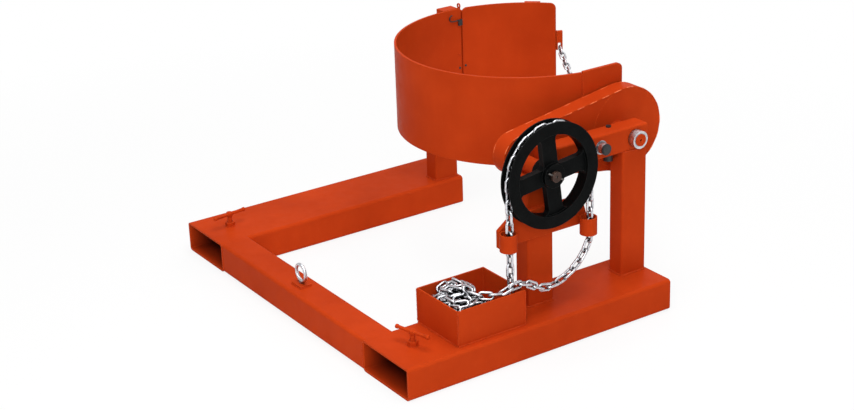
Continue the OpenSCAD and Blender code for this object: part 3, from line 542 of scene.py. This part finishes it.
def ground_seams():
    """The flush welds across the top of the base, ground flat and painted over."""
    s = Shape()
    low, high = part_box("rear_crossbar")
    rows = 36
    inset = 1.5 * MM
    corner = 8 * MM
    for x, out in ((low.x, -1), (high.x, 1)):
        points = []
        for i in range(rows + 1):
            y = low.y + inset + (high.y - low.y - 2 * inset) * i / rows
            turn = max(corner - min(y - low.y, high.y - y), 0.0)
            z = high.z - corner + math.sqrt(corner**2 - turn**2)
            inner = (5.0 + random.uniform(-0.5, 0.5)) * MM * out
            outer = (12.0 + random.uniform(-0.5, 0.5)) * MM * out
            rise = (0.10 + random.uniform(-0.03, 0.03)) * MM
            strip = [(-inner, -0.4 * MM), (-inner * 0.8, rise), (outer * 0.9, rise), (outer, -0.4 * MM)]
            for dx, dz in strip[::out]:
                points.append(Vector((x + dx, y, z + dz)))
        faces = [(0, 1, 2, 3), tuple(rows * 4 + k for k in (3, 2, 1, 0))]
        for i in range(rows):
            for k in range(4):
                m = (k + 1) % 4
                faces.append((i * 4 + k, (i + 1) * 4 + k, (i + 1) * 4 + m, i * 4 + m))
        s.add(points, faces)
    s.piece("ground_seams", "frame", FLUSH, smooth=False)


def upright(x, y, low, high):
    """A vertical seam."""
    return [Vector((x, y, low)), Vector((x, y, high))]


def around_foot(s, node, rise, size, corner=5 * MM):
    """A bead around a box-shaped piece, a little above its lower end."""
    low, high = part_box(node)
    bead(s, rectangle(low.x, high.x, low.y, high.y, low.z + rise, corner), size, True)


def base_welds(s):
    """Around the feet of the posts, at the crossbar's ends, on the front post and at the chain box."""
    for node in ("drive_post_front", "drive_post_rear", "idler_post"):
        around_foot(s, node, 0.6 * MM, 2.9 * MM)
    low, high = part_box("rear_crossbar")
    for x in (low.x, high.x):
        for y in (low.y + 0.5 * MM, high.y - 0.5 * MM):
            bead(s, upright(x, y, 6 * MM, high.z - 9 * MM), 2.6 * MM)
    low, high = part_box("drive_post_front")
    inset = 1 * MM
    top = rectangle(low.x + inset, high.x - inset, low.y + inset, high.y - inset, high.z)
    bead(s, top, 2.2 * MM, True)
    around_foot(s, "chain_box", 0.6 * MM, 2.3 * MM, 1.5 * MM)
    low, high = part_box("chain_box")
    for x in (low.x, high.x):
        for y in (low.y, high.y):
            bead(s, upright(x, y, low.z + 4 * MM, high.z - 2 * MM), 1.9 * MM)


def guide_welds(s):
    """The chain guides on their arm, and the arm and the wheel's bearing tube on the rear post."""
    arm_low, arm_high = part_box("guide_arm")
    for node in ("rear_chain_guide", "front_chain_guide"):
        low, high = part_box(node)
        for side in (-1, 1):
            y = (low.y + high.y) / 2 + side * 5.2 * MM
            if arm_low.y < y < arm_high.y:
                bead(s, upright(arm_high.x + 0.7 * MM, y, low.z + 3 * MM, high.z - 3 * MM), 2.0 * MM)
    low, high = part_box("drive_post_rear")
    x = high.x + 0.5 * MM
    for z in (arm_low.z, arm_high.z):
        bead(s, [Vector((x, low.y + 6 * MM, z)), Vector((x, high.y - 6 * MM, z))], 2.4 * MM)
    z = high.z + 0.8 * MM
    for side in (-1, 1):
        y = WHEEL.y + side * 7.5 * MM
        bead(s, [Vector((low.x + 3 * MM, y, z)), Vector((high.x - 3 * MM, y, z))], 2.4 * MM)


def bearing_welds(s):
    """Where the bearing tubes pass through the case, the beam and the idler post."""
    case_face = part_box("chain_case_cover")[1].x
    beam_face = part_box("bearing_beam")[0].x
    idler_low, idler_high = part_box("idler_post")
    for x, centre, r, size in (
        (case_face, WHEEL, 18.6, 1.9),
        (case_face, TILT, 21.2, 1.9),
        (beam_face, TILT, 21.2, 1.7),
        (idler_low.x, TILT, 21.2, 1.6),
        (idler_high.x, TILT, 21.2, 1.6),
    ):
        seam = ring(Vector((x, centre.y, centre.z)), Vector((1, 0, 0)), r * MM)
        bead(s, seam, size * MM, True)


def small_part_welds(s):
    """Around the clamp nuts and the eye bolt's plate."""
    for node in ("left_clamp_nut", "right_clamp_nut"):
        at = mid(node)
        r = 12 * MM
        hexagon = []
        for k in range(6):
            a = math.radians(60 * k)
            hexagon.append(Vector((at.x + r * math.cos(a), at.y + r * math.sin(a), LEG_TOP + 0.4 * MM)))
        bead(s, hexagon, 1.7 * MM, True)
    around_foot(s, "eye_bolt_plate", 0.4 * MM, 1.8 * MM, 1 * MM)


def frame_welds():
    s = Shape()
    base_welds(s)
    guide_welds(s)
    bearing_welds(s)
    small_part_welds(s)
    s.piece("frame_welds", "frame", WELD)


def case_outline(node):
    """The case's edge, from its own mesh: the hull of the points at its near face."""
    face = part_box(node)[1].x
    mesh = frame["nodes"][node].data
    flat = [Vector((v.co.y, v.co.z)) for v in mesh.vertices if abs(v.co.x - face) < 1e-5]
    return [Vector((face, flat[i].x, flat[i].y)) for i in convex_hull_2d(flat)]


def case_welds():
    """Short stitches along the case's edges, as the photograph shows on its upper side."""
    s = Shape()
    outline = case_outline("chain_case_cover")
    centre = sum(outline, Vector()) / len(outline)
    edge = [p + (centre - p).normalized() * 0.8 * MM for p in resample(outline, 2 * MM, True)]
    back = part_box("chain_case_back")[1].x
    stitch = 1.25 * MM
    # Counts of edge points, about 2 mm apart
    dash, gap, wide_gap, first = 11, 7, 16, 4
    last = len(edge) - dash
    for i in range(0, last, dash + gap):
        bead(s, edge[i : i + dash], stitch)
    for i in range(first, last, dash + wide_gap):
        bead(s, [Vector((back, p.y, p.z)) for p in edge[i : i + dash]], stitch)
    s.piece("case_welds", "frame", STITCH)


# Height from one hinge knuckle to the next, and where the seam on each starts and ends above its foot
KNUCKLE_STEP = 37 * MM
KNUCKLE_SEAM = (2 * MM, 34 * MM)


def trunnion_welds(s):
    """The trunnion bar's two upright edges on the band."""
    low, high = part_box("trunnion_bar")
    for y in (low.y, high.y):
        x = -math.sqrt(BAND_R**2 - (y - TILT.y) ** 2) - 0.6 * MM
        bead(s, upright(x, y, low.z + 4 * MM, high.z - 5 * MM), 2.6 * MM)


def drive_plate_welds(s):
    """The drive plate on the band, and the chain's lug on the plate."""
    low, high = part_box("drive_plate")
    for x in (low.x + 0.3 * MM, low.x + 3.2 * MM):
        bead(s, upright(x, low.y, BAND_LOW.z + 3 * MM, BAND_HIGH.z - 3 * MM), 2.5 * MM)
    lug = mid("chain_lug").z
    for x in (high.x, low.x):
        bead(s, upright(x, high.y, lug - 8 * MM, lug + 8 * MM), 1.9 * MM)


def knuckle_welds(s):
    """The three knuckles that belong to the collar, on the trunnion bar."""
    low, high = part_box("hinge_knuckles")
    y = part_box("trunnion_bar")[1].y + 0.4 * MM
    for k in (0, 2, 4):
        foot = low.z + k * KNUCKLE_STEP
        for x in (low.x + 0.6 * MM, high.x - 3 * MM):
            bead(s, upright(x, y, foot + KNUCKLE_SEAM[0], foot + KNUCKLE_SEAM[1]), 1.6 * MM)


def collar_welds():
    s = Shape()
    trunnion_welds(s)
    drive_plate_welds(s)
    knuckle_welds(s)
    s.piece("collar_welds", "collar", WELD)


def wing_upright(s, angle, proud, low, high, size):
    """A vertical seam on the wing's outside, at an angle in degrees about the collar's axis."""
    bead(s, [polar(angle, BAND_R + proud, z) for z in (low, high)], size)


def wing_welds():
    """Both sides of the strap, round the catch and on the hinge leaf's knuckles."""
    s = Shape()
    low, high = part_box("wing_strap")
    strap_angle, strap_half = 138, 3.7
    proud = 0.8 * MM
    for side in (-1, 1):
        angle = strap_angle + side * strap_half
        wing_upright(s, angle, proud, low.z + 4 * MM, high.z - 4 * MM, 2.1 * MM)
    centre = mid("wing_catch").z
    for z in (centre - 25 * MM, centre + 25 * MM):
        bead(s, [polar(WING_EDGE + a, BAND_R + proud, z) for a in (0.6, 2.6, 4.8, 7.0)], 2.0 * MM)
    wing_upright(s, WING_EDGE + 7.6, proud, centre - 24 * MM, centre + 24 * MM, 2.0 * MM)
    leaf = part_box("wing_hinge_leaf")[0].z
    for k in (0, 2):
        foot = leaf + k * KNUCKLE_STEP
        wing_upright(s, SLIT - 8.3, 1.2 * MM, foot + KNUCKLE_SEAM[0], foot + KNUCKLE_SEAM[1], 1.8 * MM)
    s.piece("wing_welds", "wing", WELD)


ground_seams()
frame_welds()
case_welds()
collar_welds()
wing_welds()


# Small screws at the slit, inside the collar
def slit_screw(name, body, angle, z, material):
    """A domed head on the inside of the band or the wing."""
    s = Shape()
    band_wall = 5 * MM
    at = polar(angle, BAND_R - band_wall, z)
    inward = (Vector((0, TILT.y, z)) - at).normalized()
    dome = [(-1.0, 3.1), (0.0, 3.1), (0.8, 2.9), (1.5, 2.2), (1.9, 1.3), (2.0, 0.3)]
    lathe(s, [(h * MM, r * MM) for h, r in dome], turn_to(inward, at), 20)
    s.piece(name, body, material)


slit_screw("slit_screw_band", "collar", SLIT + 1.5, 384 * MM, PLASTIC)
slit_screw("slit_screw_wing", "wing", SLIT - 1.7, 388 * MM, PLASTIC)
slit_screw("slit_screw_painted", "collar", SLIT + 1.5, 420 * MM, WELD)


# Clamp screws with a cut thread and a sliding bar
def thread(s, x, y, low, high):
    """A cut thread about a vertical axis."""
    pitch, depth, crest = 2.5 * MM, 0.75 * MM, 5.95 * MM
    sides = 28
    rows = int((high - low) / (pitch / 8))
    points = []
    for i in range(rows + 1):
        z = low + (high - low) * i / rows
        for k in range(sides):
            off_crest = abs(((z - low) / pitch - k / sides) % 1 - 0.5)
            r = crest - depth * min(1.0, 2.3 * off_crest)
            a = 2 * math.pi * k / sides
            points.append(Vector((x + r * math.cos(a), y + r * math.sin(a), z)))
    s.add(points, wrap(rows + 1, sides))


def clamp_screw(side, bar_angle):
    """One screw: its thread, round head and plain tip, and the sliding bar turned by bar_angle degrees."""
    node = side + "_clamp_screw"
    nut = mid(side + "_clamp_nut")
    low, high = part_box(node)
    bar_z = high.z - 5.5 * MM
    s = Shape()
    thread(s, nut.x, nut.y, low.z + 6 * MM, bar_z - 5.4 * MM)
    head = [(-5.6, 5.2), (-5.0, 6.9), (-4.2, 7.5), (4.4, 7.5), (5.2, 7.0), (5.5, 6.0), (5.5, 0.3)]
    lathe(s, [(h * MM, r * MM) for h, r in head], Matrix.Translation((nut.x, nut.y, bar_z)), 28)
    tip_place = Matrix.Translation((nut.x, nut.y, low.z + 5 * MM))
    lathe(s, [(-5 * MM, 5 * MM), (1 * MM, 5 * MM)], tip_place, 24)
    angle = math.radians(bar_angle)
    along = Vector((math.cos(angle), math.sin(angle), 0))
    bar_end = [(46.5, 0.3), (46.5, 4.2), (46.1, 4.8), (45.3, 5.0), (41.2, 5.0), (40.5, 4.5), (40.2, 4.0)]
    profile = [(-h * MM, r * MM) for h, r in bar_end] + [(h * MM, r * MM) for h, r in reversed(bar_end)]
    lathe(s, profile, turn_to(along, Vector((nut.x, nut.y, bar_z))), 24)
    thing = s.piece(side + "_clamp_screw_cut", side + "_clamp_screw", ORANGE)
    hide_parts(node)


clamp_screw("left", 99)
clamp_screw("right", 14.5)


# The hand chain's loose end, heaped in the box
BOX_LOW, BOX_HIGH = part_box("chain_box")
HEAP_LEFT, HEAP_RIGHT = BOX_LOW.x + 15 * MM, BOX_HIGH.x - 15 * MM
HEAP_REAR = BOX_LOW.y + 14 * MM
# The box's wall and its floor, each with a little play
BOX_WALL, BOX_FLOOR = 3.4 * MM, 3.3 * MM
WIRE, LINK_WIDTH, LINK_INNER = 6 * MM, 20.5 * MM, 25.4 * MM
LINK_STEP = 24.5 * MM


def link_shape():
    """One link of the hand chain, lying along X."""
    s = Shape()
    arc = (LINK_WIDTH - WIRE) / 2
    half = (LINK_INNER + WIRE) / 2 - arc
    path = []
    for sign in (1, -1):
        for k in range(9):
            a = math.radians(-90 + 180 * k / 8)
            path.append(Vector((sign * (half + arc * math.cos(a)), sign * arc * math.sin(a), 0)))
    sweep(s, path, WIRE / 2, 8, True)
    return s


def hill(x, y, wide, deep):
    """A smooth bump that is 1 high at its middle."""
    return math.exp(-((x / wide) ** 2) - (y / deep) ** 2)


def mound(x, y):
    """The pile's top surface: a crest near the rear wall, a dip at one corner and a slope to the front."""
    dx, dy = x - BOX_LOW.x, y - BOX_LOW.y
    crest = 11 * MM * hill(dx - 66 * MM, dy - 66.5 * MM, 50 * MM, 32 * MM)
    corner = 30 * MM * hill(dx, dy, 38 * MM, 60 * MM)
    slope = max(0.0, dy - 85 * MM) * 2.2
    return max(BOX_HIGH.z - 9 * MM + crest - slope - corner, BOX_LOW.z + 14 * MM)


def facing(ahead):
    """Turns a link's length along ahead."""
    side, other = across(ahead)
    return Matrix((ahead.normalized(), side, other)).transposed().to_4x4()


def drop(s, link, place):
    """Adds a link, pushed in from the box's walls and floor."""
    inner_low = BOX_LOW + Vector((BOX_WALL, BOX_WALL, BOX_FLOOR))
    inner_high = BOX_HIGH - Vector((BOX_WALL, BOX_WALL, 0))
    points = [place @ p for p in link.points]
    for axis in range(3):
        values = [p[axis] for p in points]
        push = max(inner_low[axis] - min(values), 0.0)
        if axis < 2:
            room = inner_high[axis] - max(values)
            push = min(push, room) if push else min(room, 0.0)
        for p in points:
            p[axis] += push
    s.add(points, link.faces)


def strand(s, link, route, lift, sway, front):
    """Links along a wavy route, lift above the pile's surface and no farther forward than front."""
    line = []
    for x, y in route:
        wave = sway * math.sin(x * 95 + y * 61 + lift * 900)
        x, y = x + wave, y + sway * math.cos(x * 71 - y * 88)
        x, y = min(max(x, HEAP_LEFT), HEAP_RIGHT), min(max(y, HEAP_REAR), front)
        line.append(Vector((x, y, mound(x, y) + lift)))
    places = resample(line, LINK_STEP)
    for i, p in enumerate(places):
        ahead = places[min(i + 1, len(places) - 1)] - places[max(i - 1, 0)]
        roll = math.radians(45 + 90 * (i % 2) + random.uniform(-30, 30))
        lean = Matrix.Rotation(random.uniform(-0.16, 0.16), 4, "Z")
        tip = Matrix.Rotation(random.uniform(-0.10, 0.10), 4, "Y")
        turn = facing(ahead) @ Matrix.Rotation(roll, 4, "X") @ lean @ tip
        drop(s, link, Matrix.Translation(p) @ turn)


def serpentine(a0, a1, b0, b1, gap, along_x, skew):
    """Runs from a0 to a1 and back, stepping from b0 to b1."""
    route, b, k = [], b0, 0
    while b <= b1 + 1e-6:
        ends = (a0, a1) if k % 2 == 0 else (a1, a0)
        for t in range(13):
            a = ends[0] + (ends[1] - ends[0]) * t / 12
            shift = b + skew * (a - (a0 + a1) / 2)
            route.append((a, shift) if along_x else (shift, a))
        b += gap
        k += 1
    return route


def layers(s, link):
    """Four layers of rows, the lowest first, each turned against the one below."""
    fronts = [BOX_LOW.y + depth * MM for depth in (106.5, 100.5, 94.5, 86.5)]
    left, right = HEAP_LEFT + 4 * MM, HEAP_RIGHT - 6 * MM
    routes = (
        serpentine(HEAP_LEFT, HEAP_RIGHT, HEAP_REAR, fronts[0], 19 * MM, True, 0.0),
        serpentine(HEAP_REAR, fronts[1], HEAP_LEFT, HEAP_RIGHT, 19 * MM, False, 0.1),
        serpentine(HEAP_LEFT, HEAP_RIGHT, HEAP_REAR, fronts[2], 18 * MM, True, -0.15),
        serpentine(HEAP_REAR, fronts[3], left, right, 19 * MM, False, 0.35),
    )
    for route, front, lift, sway in zip(routes, fronts, (-29, -20, -10, -2), (2, 2, 3, 4)):
        strand(s, link, route, lift * MM, sway * MM, front + 2 * MM)


def loops(s, link):
    """Three loops on top: centre from the box's corner, half widths, start and turn in radians, lift."""
    for dx, dy, rx, ry, start, turn, lift in (
        (48, 60.5, 33, 22, 0.4, 5.6, 6),
        (92, 46.5, 38, 26, 2.3, 5.2, 5),
        (62, 72.5, 28, 15, 4.0, 4.6, 9),
    ):
        route = []
        for k in range(25):
            a = start + turn * k / 24
            x, y = dx + rx * math.cos(a), dy + ry * math.sin(a)
            route.append((BOX_LOW.x + x * MM, BOX_LOW.y + y * MM))
        strand(s, link, route, lift * MM, 1.5 * MM, BOX_LOW.y + 91.5 * MM)


def tail(s, link):
    """Four links from the swag's end, just inside the wall, to the pile."""
    path = [Vector(p) * MM for p in ((464, 216, 160), (457, 194, 161), (440, 178, 164), (420, 172, 168))]
    for i, p in enumerate(path):
        after = path[i + 1] if i < 3 else p + Vector((-20, 2, 0)) * MM
        before = path[i - 1] if i else p - Vector((-4, -23, 3)) * MM
        roll = Matrix.Rotation(math.radians(30 + 90 * (i % 2)), 4, "X")
        drop(s, link, Matrix.Translation(p) @ facing(after - before) @ roll)


def heap():
    s = Shape()
    link = link_shape()
    layers(s, link)
    loops(s, link)
    tail(s, link)
    thing = s.piece("chain_in_box", "frame", ZINC)
    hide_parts("hand_chain_heap", "hand_chain_core")


heap()


# Floor, backdrop light and lamps
def floor():
    """White and matte. Near the object it keeps its shadow; farther out it fades to plain white."""
    mesh = bpy.data.meshes.new("floor")
    half = 9.0
    z = -0.4 * MM
    corners = [(-half, -half, z), (half, -half, z), (half, half, z), (-half, half, z)]
    mesh.from_pydata(corners, [], [(0, 1, 2, 3)])
    thing = bpy.data.objects.new("floor", mesh)
    bpy.context.collection.objects.link(thing)
    material = bpy.data.materials.new("pale_floor")
    n = Nodes(material)
    out = n.node("ShaderNodeOutputMaterial")
    mix = n.node("ShaderNodeMixShader")
    matte = n.node("ShaderNodeBsdfDiffuse", Color=(0.86, 0.86, 0.86, 1))
    glow = n.node("ShaderNodeEmission")
    place = n.node("ShaderNodeTexCoord")
    away = n.node("ShaderNodeVectorMath")
    away.operation = "LENGTH"
    fade = n.node("ShaderNodeMapRange", From_Min=0.8, From_Max=2.2, To_Min=0.84, To_Max=1.0)
    path = n.node("ShaderNodeLightPath")
    n.join(place.outputs["Object"], away.inputs[0])
    n.join(away.outputs["Value"], fade.inputs["Value"])
    n.join(n.math("MULTIPLY", path.outputs["Is Camera Ray"], fade.outputs["Result"]), mix.inputs["Fac"])
    n.join(matte.outputs[0], mix.inputs[1])
    n.join(glow.outputs[0], mix.inputs[2])
    n.join(mix.outputs[0], out.inputs["Surface"])
    mesh.materials.append(material)


def world():
    """Plain white for the camera, dimmer as a light, and between the two in reflections."""
    studio = bpy.data.worlds.new("studio")
    bpy.context.scene.world = studio
    n = Nodes(studio)
    out = n.node("ShaderNodeOutputWorld")
    soft = n.node("ShaderNodeBackground", Color=(1, 1, 1, 1), Strength=0.39)
    white = n.node("ShaderNodeBackground", Color=(1, 1, 1, 1), Strength=1.0)
    path = n.node("ShaderNodeLightPath")
    shine = n.math("MULTIPLY", path.outputs["Is Glossy Ray"], 0.5)
    mix = n.node("ShaderNodeMixShader")
    n.join(n.math("ADD", path.outputs["Is Camera Ray"], shine), mix.inputs["Fac"])
    n.join(soft.outputs[0], mix.inputs[1])
    n.join(white.outputs[0], mix.inputs[2])
    n.join(mix.outputs[0], out.inputs["Surface"])


def lamp(name, at, aim, size, power):
    data = bpy.data.lights.new(name, "AREA")
    data.shape = "DISK"
    data.size = size
    data.energy = power
    thing = bpy.data.objects.new(name, data)
    thing.location = at
    thing.rotation_mode = "QUATERNION"
    thing.rotation_quaternion = (Vector(aim) - Vector(at)).to_track_quat("-Z", "Y")
    bpy.context.collection.objects.link(thing)


floor()
world()
MIDDLE = (0, 0.3, 0.2)
lamp("overhead", (0.8, 0.1, 4.2), MIDDLE, 3.2, 124)
lamp("key", (3.0, -1.9, 2.4), MIDDLE, 1.8, 56)
lamp("rear_fill", (-2.4, 3.2, 3.0), MIDDLE, 2.6, 30)
bpy.context.scene.view_settings.view_transform = "Standard"
